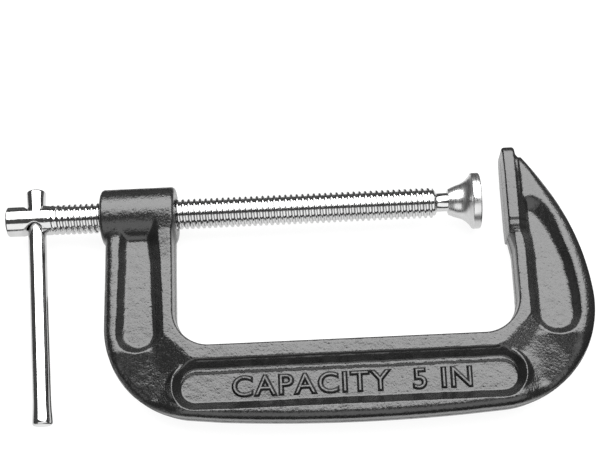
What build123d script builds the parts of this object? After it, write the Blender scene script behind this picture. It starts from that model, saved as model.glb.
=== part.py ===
from build123d import *
import math
import os

# C clamp lying on its side.  +X runs along the screw from the handle to the
# anvil, +Y from the spine to the screw, +Z up from the table.  The origin is
# the centre of the anvil's face, on the screw's axis.  Millimetres.

# Main sizes
throat = 61.7  # screw axis to the spine's inner edge
pad_gap = 10.8  # gap left between pad and anvil as drawn

# Screw and its thread, ten threads to the inch
pitch = 2.54
crest_r = 6.85
root_r = 5.8
head_r = 6.75
head_end = -221.8
head_length = 23.0
thread_start = -192.0
thread_end = -30.2
neck_r = 4.2
thread_gap = 0.4  # clearance between the screw's thread and the frame's

# Ball joint and swivel pad
ball_r = 6.2
ball_x = -19.8
ball_gap = 0.08
lip_x = -25.1
lip_r = 4.55
pad_r = 12.5
pad_rim = 3.6

# Sliding bar through the head
bar_r = 4.0
bar_end_r = 4.45
bar_top = 13.8
bar_bottom = -92.8
bar_flare = 11.0
bar_x = -208.9
bar_lean = 2.75  # degrees, taken up by the play in the hole
bar_hole_r = 4.5
sink_r = 6.0  # countersink where the hole leaves the head

# Frame, in plan
arm_left = -178.6  # at the heel; the arm narrows a little towards the boss
arm_top_left = -177.4
arm_inner = -146.8
anvil_arm = 1.5
jaw_foot = -18.5
back_x = 35.9
back_y = -54.0
back_r = 110.0
belly_x = -68.0
belly_y = -96.8
belly_r = 800.0
heel_r = 41.0
throat_r = 15.0

# Frame, in thickness, measured from the parting plane
rim_z = 8.0
flange_z = 9.3
web_z = 4.2
panel_z = 3.6
jaw_z = 10.8
flange_w = 5.2
draft = 2.0
pocket_slope = 41.0
edge_r = 4.0
boss_r = 12.4
boss_left = -179.2
boss_right = -146.2
jaw_t = 4.6
jaw_slope = 3.6  # the plate's sloping back
jaw_top = 22.3


def belly(x):
    """Height of the spine's outer edge at x."""
    return belly_y + (x - belly_x) ** 2 / (2 * belly_r)


def back(y):
    """Where the anvil arm's outer edge lies at height y."""
    return back_x - back_r + math.sqrt(back_r**2 - (y - back_y) ** 2)


def near(shape, *points):
    """The vertices of a flat outline nearest to the given points."""
    found = []
    for point in points:
        spot = Vector(*point)
        found.append(min(shape.vertices(), key=lambda v: (Vector(v) - spot).length))
    return found


def facing_up(face):
    """The same flat face with its normal towards +Z."""
    flat = face.faces()[0]
    return flat if flat.normal_at().Z > 0 else -flat


def c_outline():
    """The C shape at the parting plane, without the boss."""
    heel_x = back(belly(28.4))
    heel_left = (arm_left, belly(arm_left))
    heel_right = (heel_x, belly(28.4))
    top_y = 18.3
    edges = [
        Line((arm_top_left, 4), heel_left),
        ThreePointArc(heel_left, (belly_x, belly_y), heel_right),
        ThreePointArc(heel_right, (back_x, back_y), (back(top_y), top_y)),
        Polyline(
            (back(top_y), top_y),
            (0, top_y),
            (0, jaw_foot),
            (anvil_arm, jaw_foot - 7),
            (anvil_arm, -throat),
            (arm_inner, -throat),
            (arm_inner, 4),
            (arm_top_left, 4),
        ),
    ]
    face = make_face(edges)
    face = fillet(near(face, heel_left, heel_right), heel_r)
    face = fillet(near(face, (anvil_arm, -throat), (arm_inner, -throat)), throat_r)
    return fillet(near(face, (0, jaw_foot), (anvil_arm, jaw_foot - 7)), 9)


def flange_outline():
    """The raised strip along the inside of the C."""
    out_left = arm_inner - flange_w
    out_right = anvil_arm + flange_w
    out_y = -throat - flange_w + 0.4
    cut = 10.5
    face = make_face(
        Polyline(
            (arm_inner, 4),
            (arm_inner, -throat),
            (anvil_arm, -throat),
            (anvil_arm, jaw_foot - 7),
            (0, jaw_foot),
            (0, 0),
            (out_right, 0),
            (out_right, out_y + cut),
            (out_right - cut, out_y),
            (out_left + cut, out_y),
            (out_left, out_y + cut),
            (out_left, 4),
            (arm_inner, 4),
        )
    )
    face = fillet(near(face, (anvil_arm, -throat), (arm_inner, -throat)), throat_r)
    face = fillet(near(face, (0, jaw_foot), (anvil_arm, jaw_foot - 7)), 9)
    bends = [
        (out_right, out_y + cut),
        (out_right - cut, out_y),
        (out_left + cut, out_y),
        (out_left, out_y + cut),
    ]
    return fillet(near(face, *bends), 4)


def arm_pocket():
    """Floor of the pocket in the screw's arm."""
    corners = [(-167.6, -14.6), (-169.2, -61.6), (-155.8, -61.6), (-157.2, -14.6)]
    face = make_face(Polyline(*corners, close=True))
    face = fillet(near(face, corners[1], corners[2]), 6.2)
    return fillet(near(face, corners[0], corners[3]), 3)


def spine_pocket(top):
    """Floor of the pocket in the spine, from the given top edge down."""
    left, right, low = -144.8, -0.6, -87.5
    face = make_face(Polyline((left, top), (left, low), (right, low), (right, top), close=True))
    return fillet(face.vertices(), (top - low) / 2 - 0.3)


def anvil_pocket():
    """Teardrop floor of the pocket in the anvil's arm."""
    low = -61.4
    left = 10.9
    tip = (9.7, -5.6)
    right = (25.0, -47.0)
    foot = (24.9, low)
    edges = [
        Polyline(tip, (left, -26), (left, low), foot, right),
        ThreePointArc(right, (21.3, -23.0), tip),
    ]
    face = make_face(edges)
    face = fillet(near(face, (left, low), foot), 6.7)
    return fillet(near(face, tip), 1.4)


def pocket(floor, depth_z):
    """A cutter that widens upwards from its floor."""
    return extrude(Pos(0, 0, depth_z) * facing_up(floor), amount=12 - depth_z, taper=-pocket_slope)


def half_frame():
    """The frame above the parting plane, before boss and jaw."""
    body = extrude(facing_up(c_outline()), amount=rim_z, taper=draft)
    rim = [e for e in body.edges() if is_outer_rim(e)]
    body = fillet(rim, edge_r)
    strip = extrude(facing_up(flange_outline()), amount=flange_z, taper=draft)
    half = body + strip
    cutters = [
        pocket(arm_pocket(), web_z),
        pocket(spine_pocket(-71.0), web_z),
        pocket(spine_pocket(-73.0), panel_z),
        pocket(anvil_pocket(), web_z),
    ]
    for cutter in cutters:
        half = half - cutter
    return half


def is_outer_rim(edge):
    """True on the top edges that run round the outside of the C."""
    middle = edge @ 0.5
    if abs(middle.Z - rim_z) > 0.01:
        return False
    outside = middle.X < arm_left + 3 or middle.Y < belly(middle.X) + 12
    return outside or (middle.X > 8 and middle.X > back(middle.Y) - 3)


def jaw():
    """The anvil's plate, flat towards the screw."""
    side = [
        (jaw_foot, -flange_z + 0.6),
        (jaw_foot + 6, -jaw_z),
        (9, -jaw_z),
        (jaw_top, -9),
        (jaw_top, 9),
        (9, jaw_z),
        (jaw_foot + 6, jaw_z),
        (jaw_foot, flange_z - 0.6),
    ]
    face = make_face(Plane.YZ * Polyline(*side, close=True))
    face = fillet(near(face, (0, jaw_top, 9), (0, jaw_top, -9)), 4)
    flat = face.faces()[0]
    flat = flat if flat.normal_at().X > 0 else -flat
    plate = extrude(flat, amount=jaw_t)
    slope = extrude(Pos(jaw_t, 0, 0) * flat, amount=jaw_slope, taper=38)
    return plate + slope


def boss():
    """The round boss that the screw runs through."""
    length = boss_right - boss_left
    middle = (boss_left + boss_right) / 2
    barrel = Pos(middle, 0, 0) * Rot(0, 90, 0) * Cylinder(boss_r, length)
    return fillet(barrel.edges().filter_by(GeomType.CIRCLE), 1.5)


def helix_ridge(x0, turns, inner_r, outer_r, root_w, crest_w):
    """A trapezoid wound round the X axis, starting at x0."""
    path = Helix(pitch=pitch, height=turns * pitch, radius=inner_r)
    section = Plane(origin=path @ 0, x_dir=(1, 0, 0), z_dir=path % 0)
    rise = outer_r - inner_r
    shape = Polyline(
        (0, -root_w / 2),
        (rise, -crest_w / 2),
        (rise, crest_w / 2),
        (0, root_w / 2),
        close=True,
    )
    ridge = sweep(section * make_face(shape), path=path, is_frenet=True)
    return Pos(x0, 0, 0) * Rot(0, 90, 0) * ridge


def along_x(x0, x1, radius):
    """A round bar from x0 to x1 on the screw's axis."""
    return Pos((x0 + x1) / 2, 0, 0) * Rot(0, 90, 0) * Cylinder(radius, x1 - x0)


def turned_about_x(outline):
    """A closed outline of (x, radius) points or edges, turned about the screw's axis."""
    return revolve(make_face(outline), axis=Axis.X)


def threaded_boss():
    """The boss with the internal thread, in step with the screw's."""
    # The turn keeps the bore's seam clear of the thread's start.
    bored = Rot(300, 0, 0) * (boss() - along_x(boss_left - 5, boss_right + 5, root_r + thread_gap))
    start = thread_start + 4 * pitch
    return bored - helix_ridge(start, 15, root_r - 0.05, crest_r + thread_gap, 2.5, 1.4)


def make_frame():
    half = half_frame()
    body = half + mirror(half, about=Plane.XY) + jaw()
    body = body - along_x(boss_left - 5, boss_right + 5, boss_r - 2.5)
    return body + threaded_boss()


def make_screw():
    head_to = head_end + head_length
    stem = Polyline(
        (head_end, 0),
        (head_end, head_r - 1),
        (head_end + 1, head_r),
        (head_to, head_r),
        (head_to + 1.2, head_r - 0.5),
        (thread_start - 1.5, head_r - 0.5),
        (thread_start + 1, root_r),
        (thread_end - 0.8, root_r),
        (thread_end, root_r - 0.8),
        (thread_end, neck_r),
        (ball_x, neck_r),
        (ball_x, 0),
        close=True,
    )
    screw = turned_about_x(stem) + Pos(ball_x, 0, 0) * Sphere(ball_r)
    turns = (thread_end - thread_start - 1.6) / pitch
    screw = screw + helix_ridge(thread_start, turns, root_r - 0.05, crest_r, 1.95, 0.8)
    sink_depth = sink_r - bar_hole_r
    hole = Cylinder(bar_hole_r, 20)
    for side in (-1, 1):
        cone = Cone(bar_hole_r, sink_r + 1, sink_depth + 1)
        level = Pos(0, 0, head_r + 1 - (sink_depth + 1) / 2)
        hole = hole + (level * cone if side > 0 else mirror(level * cone, about=Plane.XY))
    return screw - Pos(bar_x, 0, 0) * Rot(-90, 0, 0) * hole


def make_pad():
    face_x = -pad_gap
    rim_x = face_x - pad_rim
    flare = Spline(
        (lip_x + 0.7, 6.0),
        (-22.2, 6.95),
        (-19.5, 7.85),
        (-16.8, 9.5),
        (rim_x - 0.8, 11.3),
        tangents=((1, 0.9), (0.7, 1)),
    )
    lip = ThreePointArc((lip_x + 0.7, lip_r), (lip_x, (lip_r + 6.0) / 2), (lip_x + 0.7, 6.0))
    rim = Polyline(
        (rim_x - 0.8, 11.3),
        (rim_x, pad_r - 0.4),
        (rim_x + 0.5, pad_r),
        (face_x - 0.8, pad_r),
        (face_x, pad_r - 0.8),
        (face_x, 0),
        (lip_x + 0.7, 0),
        (lip_x + 0.7, lip_r),
    )
    pad = turned_about_x([lip, flare, rim])
    pad = pad - Pos(ball_x, 0, 0) * Sphere(ball_r + ball_gap)
    return pad - along_x(lip_x - 2, ball_x, lip_r)


def make_bar():
    rise = bar_end_r - bar_r
    edge = 1.3
    outline = Polyline(
        (0, bar_bottom),
        (bar_end_r - edge, bar_bottom),
        (bar_end_r, bar_bottom + edge),
        (bar_end_r, bar_bottom + 2.5),
        (bar_end_r - rise, bar_bottom + bar_flare),
        (bar_end_r - rise, bar_top - bar_flare),
        (bar_end_r, bar_top - 2.5),
        (bar_end_r, bar_top - edge),
        (bar_end_r - edge, bar_top),
        (0, bar_top),
        close=True,
    )
    bar = revolve(make_face(outline), axis=Axis.Y)
    return Pos(bar_x, 0, 0) * Rot(0, 0, bar_lean) * bar


os.makedirs("parts", exist_ok=True)
nodes = {
    "frame": make_frame(),
    "screw": make_screw(),
    "swivel_pad": make_pad(),
    "handle_bar": make_bar(),
}
for name, shape in nodes.items():
    export_step(shape, "parts/" + name + ".step")
    print(name, round(shape.volume, 1), shape.is_valid, len(shape.solids()))
    print("  ", shape.bounding_box())
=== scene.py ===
import math

import bpy
import numpy as np
from mathutils import Matrix, Vector


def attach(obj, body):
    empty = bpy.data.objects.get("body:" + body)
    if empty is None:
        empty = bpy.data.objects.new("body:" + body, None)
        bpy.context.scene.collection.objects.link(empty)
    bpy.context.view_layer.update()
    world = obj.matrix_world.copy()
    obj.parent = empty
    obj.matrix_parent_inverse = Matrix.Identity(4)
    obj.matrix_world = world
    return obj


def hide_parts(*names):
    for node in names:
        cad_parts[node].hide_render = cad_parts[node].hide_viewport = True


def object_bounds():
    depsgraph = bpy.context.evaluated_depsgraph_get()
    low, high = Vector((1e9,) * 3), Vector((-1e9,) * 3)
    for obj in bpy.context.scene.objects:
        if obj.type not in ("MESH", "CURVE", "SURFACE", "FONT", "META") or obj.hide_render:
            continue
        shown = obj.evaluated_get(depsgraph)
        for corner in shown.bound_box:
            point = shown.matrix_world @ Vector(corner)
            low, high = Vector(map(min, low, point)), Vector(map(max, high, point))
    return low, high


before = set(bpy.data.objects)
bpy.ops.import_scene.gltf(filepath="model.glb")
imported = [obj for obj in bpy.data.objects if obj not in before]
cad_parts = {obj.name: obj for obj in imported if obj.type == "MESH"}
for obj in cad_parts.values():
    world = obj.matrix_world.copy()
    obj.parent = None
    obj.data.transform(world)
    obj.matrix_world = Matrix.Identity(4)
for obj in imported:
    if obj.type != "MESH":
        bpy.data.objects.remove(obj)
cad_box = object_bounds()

MM = 0.001
DRAFT = math.tan(math.radians(2.0))

# Sizes in millimetres, as in the CAD model
THROAT = 61.7
ARM_LEFT, ARM_TOP_LEFT, ARM_INNER = -178.6, -177.4, -146.8
ANVIL_ARM, JAW_FOOT, JAW_TOP = 1.5, -18.5, 22.3
BACK_X, BACK_Y, BACK_R = 35.9, -54.0, 110.0
BELLY_X, BELLY_Y, BELLY_R = -68.0, -96.8, 800.0
HEEL_R, RIGHT_HEEL_R, THROAT_R, FLANGE_W = 41.0, 46.0, 15.0, 5.2
RIM_Z, FLANGE_Z, WEB_Z, PANEL_Z = 8.0, 9.3, 4.2, 3.6
JAW_Z, JAW_T = 10.8, 4.6
BOSS_R, BOSS_LEFT, BOSS_RIGHT = 12.4, -179.2, -146.2
PITCH, ROOT_R, CREST_R = 2.54, 5.8, 6.85
THREAD_START, THREAD_END, THREAD_GAP = -192.0, -30.2, 0.4
HEAD_END, HEAD_LENGTH, HEAD_R, SHANK_R = -221.8, 23.0, 6.75, 6.25
BAR_X, BAR_LEAN, BAR_R, BAR_END_R = -208.9, 2.75, 4.0, 4.45
BAR_TOP, BAR_BOTTOM, BAR_HOLE_R, SINK_R = 13.8, -92.8, 4.5, 6.3
BALL_X, BALL_R, BALL_GAP, NECK_R = -19.8, 6.2, 0.08, 4.2
LIP_X, LIP_R, PAD_R, PAD_GAP, PAD_RIM = -25.1, 4.55, 12.5, 10.8, 3.6


# ---------------------------------------------------------------- mesh tools
def mesh_object(name, verts_mm, faces, smooth_angle=None):
    """A mesh object in metres from millimetre points and a face list or array."""
    mesh = bpy.data.meshes.new(name)
    mesh.from_pydata((np.asarray(verts_mm, float) * MM).tolist(), [], [list(f) for f in faces])
    mesh.validate()
    mesh.update()
    obj = bpy.data.objects.new(name, mesh)
    bpy.context.scene.collection.objects.link(obj)
    if smooth_angle is None:
        mesh.shade_smooth()
    else:
        mesh.shade_smooth()
        mesh.set_sharp_from_angle(angle=math.radians(smooth_angle))
    return obj


def rounded(corners, step=0.5):
    """Points of a closed outline with each corner (x, y, radius) rounded."""
    pts = []
    n = len(corners)
    for i in range(n):
        ax, ay, _ = corners[i - 1]
        bx, by, r = corners[i]
        cx, cy, _ = corners[(i + 1) % n]
        b = np.array((bx, by), float)
        u = np.array((ax, ay), float) - b
        v = np.array((cx, cy), float) - b
        u /= np.linalg.norm(u)
        v /= np.linalg.norm(v)
        if r < 1e-6:
            pts.append(b)
            continue
        angle = math.acos(max(-1.0, min(1.0, float(u @ v))))
        reach = r / math.tan(angle / 2)
        centre = b + (u + v) / np.linalg.norm(u + v) * r / math.sin(angle / 2)
        p0 = b + u * reach - centre
        p1 = b + v * reach - centre
        a0 = math.atan2(p0[1], p0[0])
        turn = (math.atan2(p1[1], p1[0]) - a0 + math.pi) % (2 * math.pi) - math.pi
        count = max(2, int(abs(turn) * r / step) + 1)
        for k in range(count + 1):
            a = a0 + turn * k / count
            pts.append(centre + r * np.array((math.cos(a), math.sin(a))))
    return np.array(pts)


def outline_distance(x, y, poly):
    """Signed distance from (x, y) to a closed outline, negative inside."""
    best = np.full(x.shape, 1e12)
    inside = np.zeros(x.shape, bool)
    for (ax, ay), (bx, by) in zip(poly, np.roll(poly, -1, axis=0)):
        ex, ey = bx - ax, by - ay
        length2 = ex * ex + ey * ey
        if length2 < 1e-12:
            continue
        px, py = x - ax, y - ay
        t = np.clip((px * ex + py * ey) / length2, 0, 1)
        dx, dy = px - t * ex, py - t * ey
        np.minimum(best, dx * dx + dy * dy, out=best)
        if abs(ey) > 1e-12:
            crosses = ((ay > y) != (by > y)) & (x < ax + ex * (y - ay) / ey)
            inside ^= crosses
    return np.sqrt(best) * np.where(inside, -1, 1)


def round_max(a, b, r):
    """Intersection of two fields with the edge rounded to radius r."""
    u = np.maximum(a + r, 0)
    v = np.maximum(b + r, 0)
    return np.minimum(np.maximum(a, b), -r) + np.sqrt(u * u + v * v)


def round_min(a, b, r):
    """Union of two fields with the inside corner filled to radius r."""
    return -round_max(-a, -b, r)


def soft_max(a, b, k):
    h = np.maximum(k - np.abs(a - b), 0) / k
    return np.maximum(a, b) + h * h * k / 4


def soft_min(a, b, k):
    return -soft_max(-a, -b, k)


def ease(t):
    t = np.clip(t, 0, 1)
    return t * t * (3 - 2 * t)


def lattice_noise(x, y, z, size, seed):
    """Smooth noise of about -1 to 1 whose bumps are size millimetres apart."""
    table = np.random.default_rng(seed).uniform(-1, 1, (64, 64, 64)).astype(np.float32)
    cells, parts = [], []
    for value in (x, y, z):
        v = np.asarray(value, float) / size + 1000.5
        whole = np.floor(v)
        cells.append(whole.astype(np.int64))
        parts.append(ease(v - whole))
    total = 0
    for i in (0, 1):
        wx = parts[0] if i else 1 - parts[0]
        for j in (0, 1):
            wy = parts[1] if j else 1 - parts[1]
            for k in (0, 1):
                wz = parts[2] if k else 1 - parts[2]
                total = total + wx * wy * wz * table[(cells[0] + i) % 64, (cells[1] + j) % 64, (cells[2] + k) % 64]
    return total


CUBE_EDGES = []
for axis in range(3):
    for p in (0, 1):
        for q in (0, 1):
            start = [p, q]
            start.insert(axis, 0)
            end = [p, q]
            end.insert(axis, 1)
            CUBE_EDGES.append((tuple(start), tuple(end)))


def surface_net(field, origin, h):
    """Quads round the zero level of a sampled field."""
    inside = field < 0
    count = np.zeros([n - 1 for n in field.shape], np.int8)
    for i in (0, 1):
        for j in (0, 1):
            for k in (0, 1):
                count += inside[i : field.shape[0] - 1 + i, j : field.shape[1] - 1 + j, k : field.shape[2] - 1 + k]
    active = (count > 0) & (count < 8)
    ids = np.full(active.shape, -1, np.int32)
    cell = np.stack(np.nonzero(active), axis=1)
    ids[active] = np.arange(len(cell))
    total = np.zeros((len(cell), 3))
    hits = np.zeros(len(cell))
    for a, b in CUBE_EDGES:
        fa = field[cell[:, 0] + a[0], cell[:, 1] + a[1], cell[:, 2] + a[2]]
        fb = field[cell[:, 0] + b[0], cell[:, 1] + b[1], cell[:, 2] + b[2]]
        cross = (fa < 0) != (fb < 0)
        t = np.where(cross, fa / np.where(cross, fa - fb, 1), 0)
        point = np.array(a) + t[:, None] * (np.array(b) - np.array(a))
        total += point * cross[:, None]
        hits += cross
    verts = (cell + total / hits[:, None]) * h + np.array(origin)
    quads = []
    for axis in range(3):
        lo = [slice(None)] * 3
        hi = [slice(None)] * 3
        lo[axis] = slice(0, field.shape[axis] - 1)
        hi[axis] = slice(1, field.shape[axis])
        change = inside[tuple(lo)] != inside[tuple(hi)]
        at = np.stack(np.nonzero(change), axis=1)
        outward = inside[tuple(lo)][change]
        u, v = [(1, 2), (0, 2), (0, 1)][axis]
        keep = (at[:, u] > 0) & (at[:, v] > 0)
        keep &= (at[:, u] < field.shape[u] - 1) & (at[:, v] < field.shape[v] - 1)
        at, outward = at[keep], outward[keep]
        ring = []
        for du, dv in ((-1, -1), (0, -1), (0, 0), (-1, 0)):
            c = at.copy()
            c[:, u] += du
            c[:, v] += dv
            ring.append(ids[c[:, 0], c[:, 1], c[:, 2]])
        quad = np.stack(ring, axis=1)
        if axis == 1:
            outward = ~outward
        quad[~outward] = quad[~outward][:, ::-1]
        quads.append(quad)
    return verts, np.concatenate(quads)


def settle(verts, field, rounds=3, eps=0.04):
    """Moves points onto the zero level of a field."""
    for _ in range(rounds):
        x, y, z = verts.T
        here = field(x, y, z)
        gx = field(x + eps, y, z) - here
        gy = field(x, y + eps, z) - here
        gz = field(x, y, z + eps) - here
        slope = np.stack((gx, gy, gz), axis=1) / eps
        size2 = np.maximum((slope**2).sum(axis=1), 0.05)
        step = slope * (here / size2)[:, None]
        length = np.linalg.norm(step, axis=1)
        step *= np.minimum(1, 0.25 / np.maximum(length, 1e-9))[:, None]
        verts = verts - step
    return verts


# ---------------------------------------------------------------- the cast frame
def belly(x):
    return BELLY_Y + (x - BELLY_X) ** 2 / (2 * BELLY_R)


def back(y):
    return BACK_X - BACK_R + math.sqrt(BACK_R**2 - (y - BACK_Y) ** 2)


def circles_meet(a, ra, b, rb):
    """The lower point that is ra from a and rb from b."""
    a, b = np.array(a), np.array(b)
    way = b - a
    d = float(np.linalg.norm(way))
    along = (ra * ra - rb * rb + d * d) / (2 * d)
    aside = math.sqrt(ra * ra - along * along)
    way /= d
    found = [a + way * along + k * aside * np.array((-way[1], way[0])) for k in (-1, 1)]
    return max(found, key=lambda p: p[0])


def outer_outline():
    heel_left = (ARM_LEFT, belly(ARM_LEFT), HEEL_R)
    belly_c, back_c = np.array((BELLY_X, BELLY_Y + BELLY_R)), np.array((BACK_X - BACK_R, BACK_Y))
    heel_c = circles_meet(back_c, BACK_R - RIGHT_HEEL_R, belly_c, BELLY_R - RIGHT_HEEL_R)
    first = math.atan2(*(heel_c - belly_c)[::-1])
    last = math.atan2(*(heel_c - back_c)[::-1])
    corners = [(ARM_TOP_LEFT, 4, 0), heel_left]
    corners += [(x, belly(x), 0) for x in np.linspace(-128, -24, 28)]
    for k in range(41):
        a = first + (last - first) * k / 40
        corners.append((heel_c[0] + RIGHT_HEEL_R * math.cos(a), heel_c[1] + RIGHT_HEEL_R * math.sin(a), 0))
    low = corners[-1][1]
    corners += [(back(y), y, 0) for y in np.linspace(low + 2, 18.3, 32)]
    corners += [(-70, 18.3, 0), (-70, 4, 0)]
    return rounded(corners)


def window_outline():
    return rounded(
        [
            (ARM_INNER, 60, 0),
            (ARM_INNER, -THROAT, THROAT_R),
            (ANVIL_ARM, -THROAT, THROAT_R),
            (ANVIL_ARM, JAW_FOOT - 7, 9),
            (0, JAW_FOOT, 9),
            (0, 60, 0),
        ]
    )


def flange_outline():
    left, right, low, cut = ARM_INNER - FLANGE_W, ANVIL_ARM + FLANGE_W, -THROAT - 7.1, 12.9
    return rounded(
        [
            (ARM_INNER + 30, 60, 0),
            (ARM_INNER + 30, -THROAT + 30, 0),
            (ANVIL_ARM - 30, -THROAT + 30, 0),
            (ANVIL_ARM - 30, 60, 0),
            (right, 60, 0),
            (right, low + cut + 1, 12),
            (right - cut - 1, low, 9),
            (left + cut, low, 5),
            (left, low + cut, 5),
            (left, 60, 0),
        ]
    )


def tear_outline():
    curve = []
    for t in np.linspace(0, 1, 12):
        # quadratic through (9.7, -5.6), (21.3, -23), (25, -47)
        a, b, c = np.array((9.7, -5.6)), np.array((22.9, -19.7)), np.array((25.0, -47.0))
        p = (1 - t) ** 2 * a + 2 * t * (1 - t) * b + t * t * c
        curve.append((p[0], p[1], 0))
    return rounded([*curve[1:], (24.9, -61.4, 6.7), (10.9, -61.4, 6.7), (10.9, -26, 3), (9.3, -6.4, 0.8)])


GRID_2D = 0.25
LOW_2D, HIGH_2D = (-182.0, -99.5), (37.5, 25.0)
xs2 = np.arange(LOW_2D[0], HIGH_2D[0], GRID_2D)
ys2 = np.arange(LOW_2D[1], HIGH_2D[1], GRID_2D)
gx2, gy2 = np.meshgrid(xs2, ys2, indexing="ij")
low_spine = -86.7
PLAN = {
    "outer": outline_distance(gx2, gy2, outer_outline()),
    "window": outline_distance(gx2, gy2, window_outline()),
    "flange": outline_distance(gx2, gy2, flange_outline()),
    "arm": outline_distance(
        gx2, gy2, rounded([(-167.3, -6.0, 3), (-169.2, -61.6, 6.2), (-155.8, -61.6, 6.2), (-157.5, -6.0, 3)])
    ),
    "spine": outline_distance(
        gx2, gy2, rounded([(-144.9, -72.0, 7.4), (-144.9, low_spine - 0.5, 7.4), (-0.5, low_spine - 0.5, 7.4), (-0.5, -72.0, 7.4)])
    ),
    "panel": outline_distance(
        gx2, gy2, rounded([(-144.4, -74.1, 6.3), (-144.4, low_spine, 6.3), (-1.0, low_spine, 6.3), (-1.0, -74.1, 6.3)])
    ),
    "tear": outline_distance(gx2, gy2, tear_outline()),
}


def plan(name, x, y):
    """A distance from the plan, read between its grid points."""
    table = PLAN[name]
    u = np.clip((x - LOW_2D[0]) / GRID_2D, 0, table.shape[0] - 1.001)
    v = np.clip((y - LOW_2D[1]) / GRID_2D, 0, table.shape[1] - 1.001)
    i, j = u.astype(int), v.astype(int)
    u, v = u - i, v - j
    return (table[i, j] * (1 - u) + table[i + 1, j] * u) * (1 - v) + (
        table[i, j + 1] * (1 - u) + table[i + 1, j + 1] * u
    ) * v


SLOPE = 1.15
SPINE_SLOPE = 1.18
LEDGE_Z = 4.2


def pocket_height(distance, floor, slope=SLOPE, soft=0.6):
    """Height of a pocket whose floor's edge is at distance 0."""
    return floor + slope * soft_max(distance, 0, soft)


def past_cut(s, t, length, lead):
    """1 beyond a flange's diagonal cut: s is the distance past it, t the place along it."""
    return ease((s + lead) / 2.0) * ease((t + 4) / 4) * ease((length + 4 - t) / 4)


def wide_fall(s, t, length):
    """1 beyond a flange's diagonal cut, fading slowly to both sides."""
    return ease((s + 1.5) / 2.0) * ease((t + 9) / 13) * ease((length + 9 - t) / 13)


def top_height(x, y):
    """Height of the frame's upper face over its parting plane."""
    wobble = 0.22 * lattice_noise(x, y, 0, 7.0, 3) + 0.12 * lattice_noise(x, y, 0, 2.6, 4)
    d_flange = plan("flange", x, y) + 0.5 * wobble
    d_arm = plan("arm", x, y) + wobble
    d_spine = plan("spine", x, y) + 0.7 * wobble
    d_panel = plan("panel", x, y) + 0.6 * wobble
    d_tear = plan("tear", x, y) + wobble
    root = math.sqrt(2)
    left_s, left_t = (-207.9 - x - y) / root, (x - y + 96.1) / root
    right_s, right_t = (x - y - 61.6) / root, (-48.2 - x - y) / root
    by_left = past_cut(left_s, left_t, 18.2, 1.5)
    by_right = past_cut(right_s, right_t, 19.7, 1.5)
    diagonal = np.maximum(by_left, by_right)
    hollow = np.maximum(wide_fall(left_s, left_t, 18.2), wide_fall(right_s, right_t, 19.7))
    corner = np.maximum(ease((-143 - x) / 14), ease((x + 2.4) / 14))
    base = RIM_Z - 1.5 * hollow - 0.17 * np.clip(-64 - y, 0, 20) * corner
    spine_mouth = (RIM_Z - LEDGE_Z) / SPINE_SLOPE
    ridge = RIM_Z - 0.2 - 1.1 * np.maximum(d_spine - spine_mouth - 0.3, 0)
    base = soft_max(base, np.minimum(ridge, RIM_Z), 0.5)
    # the raised strip reaches the pockets along the arms and slopes off at the corners
    in_arms = ease((y + 62) / 5) * np.where(x < -80, 1.0, ease((-6 - y) / 6)) * (1 - diagonal)
    steep = 3.2 * (1 - diagonal) + 0.32 * by_left + 0.40 * by_right
    by_boss = ease((y + 24) / 18) * (x < -80)
    flange_top = FLANGE_Z + 1.3 * by_boss
    raised = flange_top - steep * soft_max(d_flange - 3.0 * in_arms - 2.6 * by_boss, 0, 0.5)
    height = soft_max(base, raised, 0.4)
    height = soft_min(height, pocket_height(d_arm + 1.6 * by_boss * (x > -162), WEB_Z, SLOPE, 1.1), 0.8)
    tip = ease((y + 26) / 16)
    height = soft_min(height, pocket_height(d_tear, WEB_Z, SLOPE - 0.45 * tip, 1.1), 0.8)
    upper_side = ease((y + 76) / 4)
    height = soft_min(height, pocket_height(d_spine, LEDGE_Z, SPINE_SLOPE + 0.32 * upper_side, 0.3), 0.5)
    height = soft_min(height, pocket_height(d_panel, PANEL_Z, 1.15 + 1.0 * upper_side, 0.25), 0.15)
    # beside the anvil's foot the strip's edge stays straight and the face falls away
    foot = FLANGE_Z + 0.1 - 1.5 * np.maximum(2.6 - x, 0)
    height = np.where((x > -4) & (y < -17) & (y > -45), np.minimum(height, foot), height)
    return height + 0.05 * lattice_noise(x, y, 0, 2.2, 5) + 0.05 * lattice_noise(x, y, 0, 5.0, 6)


def jaw_height(x, y):
    """Half thickness of the anvil's plate."""
    along = np.interp(
        y,
        [-18.6, -18.2, -15.2, -12.9, -12.2, 9.0, JAW_TOP],
        [8.6, 9.2, 10.2, 10.35, JAW_Z, JAW_Z, 9.0],
    )
    return along - 0.92 * soft_max(x - JAW_T, 0, 0.4)


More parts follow.
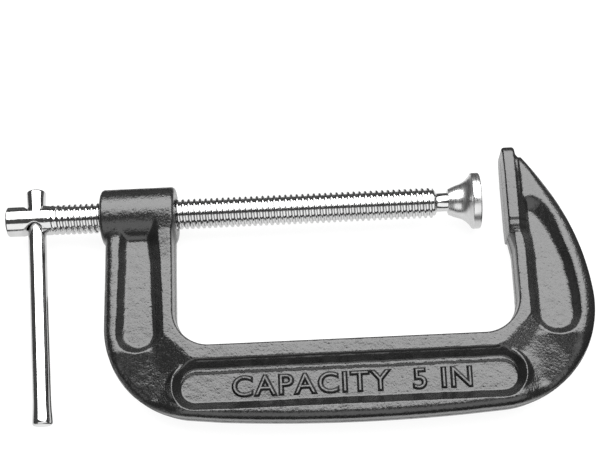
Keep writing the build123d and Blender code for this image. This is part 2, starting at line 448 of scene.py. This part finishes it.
def frame_field(x, y, z, top=None, planes=None):
    """Below zero inside the frame."""
    up = np.abs(z)
    if top is None:
        top = top_height(x, y)
        planes = plan("outer", x, y), plan("window", x, y)
    seam = 0.25 - 0.25 * np.exp(-((z / 0.5) ** 2))
    outside = planes[0] + seam + DRAFT * up
    inner = -planes[1] + seam + DRAFT * up
    edge = 3.7 + (2.6 * ease((x - 6) / 14) + 0.6 * ease((-160 - x) / 10)) * ease((y + 86) / 22)
    body = round_max(outside, up - top, edge)
    body = round_max(body, inner, 1.3)
    jaw = round_max(up - jaw_height(x, y), y - JAW_TOP, 3.5)
    jaw = round_max(jaw, 0.03 - x, 1.1)
    jaw = round_max(jaw, x - 9.0 + 3.2 * ease((y - 14) / 5), 1.0)
    jaw = np.maximum(jaw, -18.6 - y)
    body = round_min(body, jaw, 0.8)
    radial = np.sqrt(y * y + z * z)
    half = (BOSS_RIGHT - BOSS_LEFT) / 2
    boss = round_max(radial - BOSS_R + 0.03, np.abs(x - (BOSS_LEFT + BOSS_RIGHT) / 2) - half + 0.03, 1.8)
    body = round_min(body, boss, 2.2)
    turn = np.arctan2(y, -z) / (2 * math.pi)
    phase = ((x - THREAD_START) / PITCH - turn + 0.5) % 1 - 0.5
    groove = np.interp(
        np.abs(phase) * PITCH,
        [0.0, 0.70, 1.09],
        [CREST_R + THREAD_GAP, CREST_R + THREAD_GAP, ROOT_R + THREAD_GAP],
    )
    depth = np.minimum(x - BOSS_LEFT, BOSS_RIGHT - x)
    bore = np.maximum(groove, ROOT_R + THREAD_GAP + 0.9 * np.clip(1.2 - depth, 0, 1.2))
    cutter = np.maximum(radial - bore, -depth - 1.5)
    return np.maximum(body, -cutter)


def build_frame(h):
    low = np.array((-180.4, -98.0, -13.4))
    count = [int((b - a) / h) + 2 for a, b in zip(low, (37.0, 23.6, 13.4))]
    ax = [low[i] + h * np.arange(count[i]) for i in range(3)]
    gx, gy = np.meshgrid(ax[0], ax[1], indexing="ij")
    top = top_height(gx, gy)
    planes = plan("outer", gx, gy), plan("window", gx, gy)
    field = np.empty(count, np.float32)
    for k in range(count[2]):
        field[:, :, k] = frame_field(gx, gy, np.full_like(gx, ax[2][k]), top, planes)
    verts, quads = surface_net(field, low, h)
    verts = settle(verts, frame_field)
    return mesh_object("cast_frame", verts, quads)


cast_frame = build_frame(0.42)
print("frame", len(cast_frame.data.polygons))


# ---------------------------------------------------------------- turned parts
def skin(rows, shift=0, close_start=True, close_end=True):
    """Faces between rows of points that run round an axis. A row may be offset by
    shift rows where it closes on itself, which makes a helix."""
    rows = [np.asarray(r, float) for r in rows]
    n = len(rows[0])
    verts = np.concatenate(rows)
    faces = []
    count = len(rows)
    for i in range(count - 1):
        for j in range(n):
            if j < n - 1:
                a, b = i * n + j, i * n + j + 1
                c, d = (i + 1) * n + j + 1, (i + 1) * n + j
            else:
                i0, i1 = min(i + shift, count - 1), min(i + 1 + shift, count - 1)
                a, b = i * n + j, i0 * n
                c, d = i1 * n, (i + 1) * n + j
            faces.append((a, b, c, d))
    if close_start:
        faces.append(tuple(reversed(range(n))))
    if close_end:
        faces.append(tuple((count - 1) * n + j for j in range(n)))
    return verts, faces


def ring(x, r, n):
    """n points round the X axis; x and r may be arrays."""
    turn = 2 * math.pi * np.arange(n) / n
    x = np.broadcast_to(np.asarray(x, float), (n,))
    r = np.broadcast_to(np.asarray(r, float), (n,))
    return np.stack((x, r * np.sin(turn), -r * np.cos(turn)), axis=1)


def build_screw():
    n = 72
    turn = np.arange(n) / n
    start, end = THREAD_START - 11.5, THREAD_END
    profile = [(-1.12, 0), (-0.88, 0.10), (-0.64, 0.62), (-0.44, 0.92), (0, 1.0), (0.44, 0.92), (0.64, 0.62), (0.88, 0.10)]
    per = len(profile)
    turns = int((end - start) / PITCH) + 4
    rows = [ring(x, HEAD_R - 0.04, n) for x in (start - 2.0, start - 1.0, start)]
    helix_start = len(rows)
    first = THREAD_START - 8 * PITCH
    for t in range(turns + 5):
        for offset, lift in profile:
            x = first + (t + turn) * PITCH + offset
            cut = (x - start) / (THREAD_START + 1.0 - start)
            crest = HEAD_R - 0.04 + (CREST_R - HEAD_R + 0.04) * ease(cut)
            depth = (CREST_R - ROOT_R) * np.clip(cut, 0, 1) ** 0.8
            r = crest - depth * (1 - lift)
            bevel = ROOT_R - 0.7 + (end - x) * 1.1
            r = np.where(x > start, r, HEAD_R - 0.04)
            rows.append(ring(np.clip(x, start + 0.05, end), np.minimum(r, np.maximum(bevel, ROOT_R - 0.7)), n))
    neck_end = BALL_X - math.sqrt(BALL_R**2 - NECK_R**2)
    tail = [(end, NECK_R + 0.3), (end + 0.3, NECK_R), (-27.0, NECK_R), (neck_end, NECK_R)]
    a0 = math.acos((neck_end - BALL_X) / BALL_R)
    for k in range(1, 20):
        a = a0 * (1 - k / 20)
        tail.append((BALL_X + BALL_R * math.cos(a), BALL_R * math.sin(a)))
    all_rows = rows + [ring(x, r, n) for x, r in tail]
    verts = np.concatenate(all_rows)
    last_helix = len(rows) - 1

    def index(i, j):
        if j == n:
            # a helix row closes on the row one turn later
            if helix_start <= i <= last_helix:
                i = min(i + per, last_helix)
            j = 0
        return i * n + j

    faces = []
    for i in range(len(all_rows) - 1):
        for j in range(n):
            faces.append((index(i, j), index(i, j + 1), index(i + 1, j + 1), index(i + 1, j)))
    faces.append(tuple(reversed(range(n))))
    tip = len(verts)
    verts = np.concatenate((verts, [[BALL_X + BALL_R, 0, 0]]))
    last = len(all_rows) - 1
    for j in range(n):
        faces.append((last * n + j, last * n + (j + 1) % n, tip))
    return verts, faces


def weld(verts, faces, dist=1e-4):
    """Merges points that coincide and drops faces that vanish."""
    key = np.round(np.asarray(verts) / dist).astype(np.int64)
    _, first, back_to = np.unique(key, axis=0, return_index=True, return_inverse=True)
    back_to = back_to.reshape(-1)
    out = []
    seen = set()
    for face in faces:
        loop = []
        for v in face:
            w = int(back_to[v])
            if not loop or loop[-1] != w:
                loop.append(w)
        if len(loop) > 1 and loop[0] == loop[-1]:
            loop.pop()
        if len(loop) < 3 or len(set(loop)) < len(loop):
            continue
        mark = frozenset(loop)
        if mark in seen:
            continue
        seen.add(mark)
        out.append(loop)
    return np.asarray(verts)[first], out


def head_field(x, y, z):
    """The screw's head with the bar's hole, below zero inside."""
    radial = np.sqrt(y * y + z * z)
    body = round_max(radial - HEAD_R + 0.02, HEAD_END + 0.03 - x, 0.9)
    body = np.maximum(body, x - THREAD_START + 12.0)
    off_axis = np.sqrt((x - BAR_X) ** 2 + z * z)
    sink = (SINK_R - off_axis - (HEAD_R - radial)) * 0.7
    return round_max(round_max(body, sink, 0.12), BAR_HOLE_R - off_axis, 0.3)


def build_head(h):
    low = np.array((-222.6, -7.6, -7.6))
    count = [int(w / h) + 2 for w in (19.8, 15.2, 15.2)]
    axes = [low[i] + h * np.arange(count[i]) for i in range(3)]
    g = np.meshgrid(*axes, indexing="ij")
    verts, quads = surface_net(head_field(*g).astype(np.float32), low, h)
    return settle(verts, head_field, eps=0.02), [tuple(q) for q in quads.tolist()]


screw_v, screw_f = build_screw()
screw_v, screw_f = weld(screw_v, screw_f)
head_v, head_f = build_head(0.25)
offset = len(screw_v)
screw_f = list(screw_f) + [tuple(v + offset for v in f) for f in head_f]
screw = mesh_object("lead_screw", np.concatenate((screw_v, head_v)), screw_f, 50)


def lathe(name, outline, n=96, smooth_angle=40, place=None):
    """A closed (x, r) outline turned about the X axis."""
    rows = [ring(x, max(r, 0.0), n) for x, r in outline]
    verts, faces = skin(rows, close_start=False, close_end=False)
    verts, faces = weld(verts, faces)
    if place is not None:
        verts = np.asarray([place @ Vector(v) for v in verts])
    return mesh_object(name, verts, faces, smooth_angle)


def arc(cx, cy, r, a0, a1, n):
    return [
        (cx + r * math.cos(math.radians(a0 + (a1 - a0) * k / n)), cy + r * math.sin(math.radians(a0 + (a1 - a0) * k / n)))
        for k in range(n + 1)
    ]


def smooth_curve(points, steps=6):
    """Points of a Catmull-Rom curve through the given ones."""
    p = [np.array(q, float) for q in points]
    p = [2 * p[0] - p[1], *p, 2 * p[-1] - p[-2]]
    out = []
    for i in range(1, len(p) - 2):
        for k in range(steps):
            t = k / steps
            a, b, c, d = p[i - 1], p[i], p[i + 1], p[i + 2]
            q = 0.5 * (2 * b + (c - a) * t + (2 * a - 5 * b + 4 * c - d) * t**2 + (3 * b - a - 3 * c + d) * t**3)
            out.append((float(q[0]), float(q[1])))
    out.append(tuple(float(v) for v in points[-1]))
    return out


def build_pad():
    face_x = -PAD_GAP
    rim_x = face_x - PAD_RIM
    socket = BALL_R + BALL_GAP
    inner = math.degrees(math.asin(LIP_R / socket))
    outline = arc(LIP_X + 0.72, 5.3, 0.7, -90, -270, 8)
    outline += smooth_curve([(LIP_X + 0.75, 6.02), (-22.2, 6.95), (-19.5, 7.85), (-17.6, 8.9), (-16.2, 10.2), (rim_x - 0.75, 11.45)])
    outline += arc(rim_x + 0.35, PAD_R - 0.75, 0.75, 150, 90, 5)
    outline += arc(face_x - 0.7, PAD_R - 0.7, 0.7, 90, 0, 6)
    outline += [(face_x, 6.0), (face_x, 0.0)]
    outline += arc(BALL_X, 0, socket, 0, 180 - inner, 24)
    outline.append((LIP_X + 0.72, 4.6))
    return lathe("pad", outline)


pad = build_pad()


def build_bar():
    lean = Matrix.Translation((BAR_X, 0, 0)) @ Matrix.Rotation(math.radians(BAR_LEAN), 4, "Z")
    lean = lean @ Matrix.Rotation(math.radians(90), 4, "Z")
    outline = [(BAR_BOTTOM, 0.0), (BAR_BOTTOM, 2.6)]
    outline += arc(BAR_BOTTOM + 1.2, BAR_END_R - 1.25, 1.2, 180, 90, 6)
    outline += [(BAR_BOTTOM + 2.4, BAR_END_R - 0.05)]
    outline += smooth_curve([(BAR_BOTTOM + 3.4, BAR_END_R - 0.12), (BAR_BOTTOM + 7, BAR_R + 0.12), (BAR_BOTTOM + 11, BAR_R)])
    outline += [(-40, BAR_R), (-20, BAR_R), (0, BAR_R)]
    outline += smooth_curve([(BAR_TOP - 11, BAR_R), (BAR_TOP - 7, BAR_R + 0.12), (BAR_TOP - 3.4, BAR_END_R - 0.12)])
    outline += arc(BAR_TOP - 1.2, BAR_END_R - 1.25, 1.2, 90, 0, 6)
    outline += [(BAR_TOP, 2.6), (BAR_TOP, 0.0)]
    return lathe("tommy_bar", outline, 64, 40, lean)


bar = build_bar()


# ---------------------------------------------------------------- materials
def nodes_of(material):
    material.use_nodes = True
    tree = material.node_tree
    return tree, tree.nodes["Principled BSDF"]


def add(tree, kind, **inputs):
    node = tree.nodes.new(kind)
    for key, value in inputs.items():
        if key in node.inputs:
            node.inputs[key].default_value = value
        else:
            setattr(node, key, value)
    return node


def noise(tree, coord, scale, detail=3.0, roughness=0.55):
    node = add(tree, "ShaderNodeTexNoise", Scale=scale, Detail=detail, Roughness=roughness)
    tree.links.new(coord, node.inputs["Vector"])
    return node.outputs["Fac"]


def spread(tree, value, lo, hi, from_lo=0.3, from_hi=0.7):
    node = tree.nodes.new("ShaderNodeMapRange")
    for key, number in (("From Min", from_lo), ("From Max", from_hi), ("To Min", lo), ("To Max", hi)):
        node.inputs[key].default_value = number
    tree.links.new(value, node.inputs["Value"])
    return node.outputs["Result"]


def grey_ramp(tree, value, stops):
    node = tree.nodes.new("ShaderNodeValToRGB")
    ramp = node.color_ramp
    while len(ramp.elements) < len(stops):
        ramp.elements.new(0.5)
    for element, (position, level) in zip(ramp.elements, stops):
        element.position = position
        element.color = (level, level * 1.0, level * 1.0, 1)
    tree.links.new(value, node.inputs["Fac"])
    return node.outputs["Color"]


def bump(tree, shader, layers):
    """Adds bump layers of (height, strength, distance in metres)."""
    normal = None
    for height, strength, distance in layers:
        node = add(tree, "ShaderNodeBump", Strength=strength, Distance=distance)
        tree.links.new(height, node.inputs["Height"])
        if normal is not None:
            tree.links.new(normal, node.inputs["Normal"])
        normal = node.outputs["Normal"]
    tree.links.new(normal, shader.inputs["Normal"])


def black_enamel():
    material = bpy.data.materials.new("black_enamel_on_iron")
    tree, shader = nodes_of(material)
    coord = tree.nodes.new("ShaderNodeTexCoord").outputs["Object"]
    grain = noise(tree, coord, 1100, 2, 0.6)
    lumps = noise(tree, coord, 260, 2, 0.5)
    broad = noise(tree, coord, 60, 2, 0.5)
    pits = add(tree, "ShaderNodeTexVoronoi", Scale=330.0, Randomness=1.0)
    tree.links.new(coord, pits.inputs["Vector"])
    pit = spread(tree, pits.outputs["Distance"], 0.0, 1.0, 0.04, 0.22)
    tree.links.new(grey_ramp(tree, broad, [(0.3, 0.005), (0.7, 0.009)]), shader.inputs["Base Color"])
    tree.links.new(spread(tree, grain, 0.20, 0.32), shader.inputs["Roughness"])
    shader.inputs["IOR"].default_value = 1.62
    bump(tree, shader, [(lumps, 0.7, 0.0003), (grain, 1.0, 0.00013), (pit, 0.6, 0.00012)])
    return material


def bright_steel(name, scale, roughness=(0.08, 0.15)):
    material = bpy.data.materials.new(name)
    tree, shader = nodes_of(material)
    coord = tree.nodes.new("ShaderNodeTexCoord").outputs["Object"]
    stretch = add(tree, "ShaderNodeMapping")
    stretch.inputs["Scale"].default_value = scale
    tree.links.new(coord, stretch.inputs["Vector"])
    marks = noise(tree, stretch.outputs["Vector"], 1.0, 2, 0.5)
    cloud = noise(tree, coord, 120, 3, 0.5)
    shader.inputs["Metallic"].default_value = 1.0
    tree.links.new(grey_ramp(tree, cloud, [(0.3, 0.50), (0.7, 0.58)]), shader.inputs["Base Color"])
    tree.links.new(spread(tree, marks, *roughness), shader.inputs["Roughness"])
    bump(tree, shader, [(marks, 0.25, 0.00003)])
    return material


enamel = black_enamel()
turned = bright_steel("turned_steel", (4000, 60, 60))
satin = bright_steel("satin_steel", (1500, 80, 80), (0.24, 0.34))
drawn = bright_steel("drawn_steel", (500, 40, 500), (0.07, 0.13))

for piece, body, node, slot, material in (
    (cast_frame, "frame", "frame", "frame", enamel),
    (screw, "screw", "screw", "screw", turned),
    (pad, "pad", "swivel_pad", "swivel_pad", satin),
    (bar, "handle", "handle_bar", "handle_bar", drawn),
):
    piece.data.materials.append(material)
    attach(piece, body)
    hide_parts(node)


# ---------------------------------------------------------------- raised capacity mark
def build_mark():
    font = bpy.data.curves.new("capacity_mark", "FONT")
    font.body = "CAPACITY  5 IN"
    font.size = 0.0142
    font.extrude = 0.0
    font.offset = -0.0003
    font.bevel_depth = 0.001
    font.bevel_resolution = 0
    font.space_character = 1.12
    font.align_x = "CENTER"
    font.align_y = "CENTER"
    temp = bpy.data.objects.new("capacity_mark_text", font)
    bpy.context.scene.collection.objects.link(temp)
    bpy.context.view_layer.update()
    mesh = bpy.data.meshes.new_from_object(temp.evaluated_get(bpy.context.evaluated_depsgraph_get()))
    bpy.data.objects.remove(temp)
    points = np.array([v.co for v in mesh.vertices])
    lo, hi = points.min(0), points.max(0)
    centre = (lo + hi) / 2
    points -= centre
    points[:, 0] *= 0.103 / (hi[0] - lo[0])
    points[:, 1] *= 0.0098 / (hi[1] - lo[1])
    points[:, 2] *= 1.25
    points += np.array((-0.0715, -0.0803, 0.0036))
    mesh.vertices.foreach_set("co", points.ravel())
    mesh.update()
    obj = bpy.data.objects.new("capacity_mark", mesh)
    bpy.context.scene.collection.objects.link(obj)
    mesh.shade_smooth()
    mesh.set_sharp_from_angle(angle=math.radians(35))
    obj.data.materials.clear()
    obj.data.materials.append(enamel)
    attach(obj, "frame")
    return obj


mark = build_mark()

# ---------------------------------------------------------------- camera
camera_data = bpy.data.cameras.new("camera")
camera = bpy.data.objects.new("camera", camera_data)
bpy.context.scene.collection.objects.link(camera)
bpy.context.scene.camera = camera
camera_data.sensor_width = 36
camera_data.lens = 77.86
camera_data.shift_x = -0.0324
camera_data.shift_y = 0.0499
camera_data.clip_start = 0.01
camera_data.clip_end = 20
right = Vector((0.9989, -0.0412, -0.02225))
up = Vector((0.04588, 0.95615, 0.28925))
backward = Vector((0.00935, -0.28996, 0.95699))
camera.matrix_world = Matrix.Translation((-0.07771, -0.19294, 0.54876)) @ Matrix((right, up, backward)).transposed().to_4x4()

# ---------------------------------------------------------------- floor and light
floor_z = cad_box[0].z


def build_floor():
    size = 4.0
    mesh = bpy.data.meshes.new("floor")
    mesh.from_pydata([(-size, -size, floor_z), (size, -size, floor_z), (size, size, floor_z), (-size, size, floor_z)], [], [(0, 1, 2, 3)])
    obj = bpy.data.objects.new("floor", mesh)
    bpy.context.scene.collection.objects.link(obj)
    material = bpy.data.materials.new("floor")
    _, shader = nodes_of(material)
    shader.inputs["Base Color"].default_value = (0.13, 0.13, 0.13, 1)
    shader.inputs["Roughness"].default_value = 0.9
    shader.inputs["Specular IOR Level"].default_value = 0.1
    shader.inputs["Emission Color"].default_value = (1, 1, 1, 1)
    shader.inputs["Emission Strength"].default_value = 0.9
    mesh.materials.append(material)
    return obj


build_floor()


def cards(name, rectangles, level):
    """Dark or bright cards (x0, y0, x1, y1) lying just over the floor."""
    z = floor_z + 0.0005
    mesh = bpy.data.meshes.new(name)
    points = [(x, y, z) for x0, y0, x1, y1 in rectangles for x, y in ((x0, y0), (x1, y0), (x1, y1), (x0, y1))]
    mesh.from_pydata(points, [], [range(4 * i, 4 * i + 4) for i in range(len(rectangles))])
    obj = bpy.data.objects.new(name, mesh)
    bpy.context.scene.collection.objects.link(obj)
    material = bpy.data.materials.new(name)
    _, shader = nodes_of(material)
    shader.inputs["Base Color"].default_value = (level, level, level, 1)
    shader.inputs["Roughness"].default_value = 0.9
    mesh.materials.append(material)
    return obj


# dark cards round the frame, seen only by reflections
flags = cards(
    "flags",
    [(-1.5, 0.028, 1.4, 1.6), (0.037, -0.112, 1.4, 0.028), (-0.2, -1.4, 1.4, -0.112), (-0.196, -0.112, -0.181, -0.03), (-1.5, -0.5, -0.262, 0.028)],
    0.0,
)
flags.visible_camera = False
flags.visible_diffuse = False
flags.visible_shadow = False


def build_backdrop():
    """A pale wall far round the floor, seen only by the camera."""
    n, radius = 64, 3.9
    rim = [(radius * math.cos(2 * math.pi * k / n), radius * math.sin(2 * math.pi * k / n)) for k in range(n)]
    points = [(x, y, floor_z + z) for z in (0, 3.5) for x, y in rim]
    mesh = bpy.data.meshes.new("backdrop")
    mesh.from_pydata(points, [], [(k, (k + 1) % n, n + (k + 1) % n, n + k) for k in range(n)])
    obj = bpy.data.objects.new("backdrop", mesh)
    bpy.context.scene.collection.objects.link(obj)
    material = bpy.data.materials.new("backdrop")
    _, shader = nodes_of(material)
    shader.inputs["Base Color"].default_value = (0, 0, 0, 1)
    shader.inputs["Emission Color"].default_value = (1, 1, 1, 1)
    shader.inputs["Emission Strength"].default_value = 0.95
    mesh.materials.append(material)
    obj.visible_diffuse = False
    obj.visible_glossy = False
    obj.visible_shadow = False
    return obj


build_backdrop()


def softbox(name, centre, across, angle, distance, width, depth, radiance):
    """A rectangular light that faces centre from angle degrees off vertical towards +Y,
    and across degrees towards +X."""
    data = bpy.data.lights.new(name, "AREA")
    data.shape = "RECTANGLE"
    data.size = width
    data.size_y = depth
    data.energy = radiance * math.pi * width * depth
    obj = bpy.data.objects.new(name, data)
    bpy.context.scene.collection.objects.link(obj)
    a, b = math.radians(angle), math.radians(across)
    way = Vector((math.sin(b), math.sin(a) * math.cos(b), math.cos(a) * math.cos(b)))
    obj.location = Vector(centre) + way * distance
    obj.rotation_mode = "QUATERNION"
    obj.rotation_quaternion = way.to_track_quat("Z", "Y")
    return obj


middle = (-0.08, -0.04, 0.0)
softbox("overhead", middle, 6, 31, 1.2, 2.4, 1.39, 6.3)
softbox("front", middle, 6, -53.6, 1.2, 2.2, 1.07, 1.5)

world = bpy.data.worlds.new("studio")
bpy.context.scene.world = world
world.use_nodes = True
world.node_tree.nodes["Background"].inputs["Color"].default_value = (1, 1, 1, 1)
world.node_tree.nodes["Background"].inputs["Strength"].default_value = 0.09
bpy.context.scene.view_settings.view_transform = "Standard"
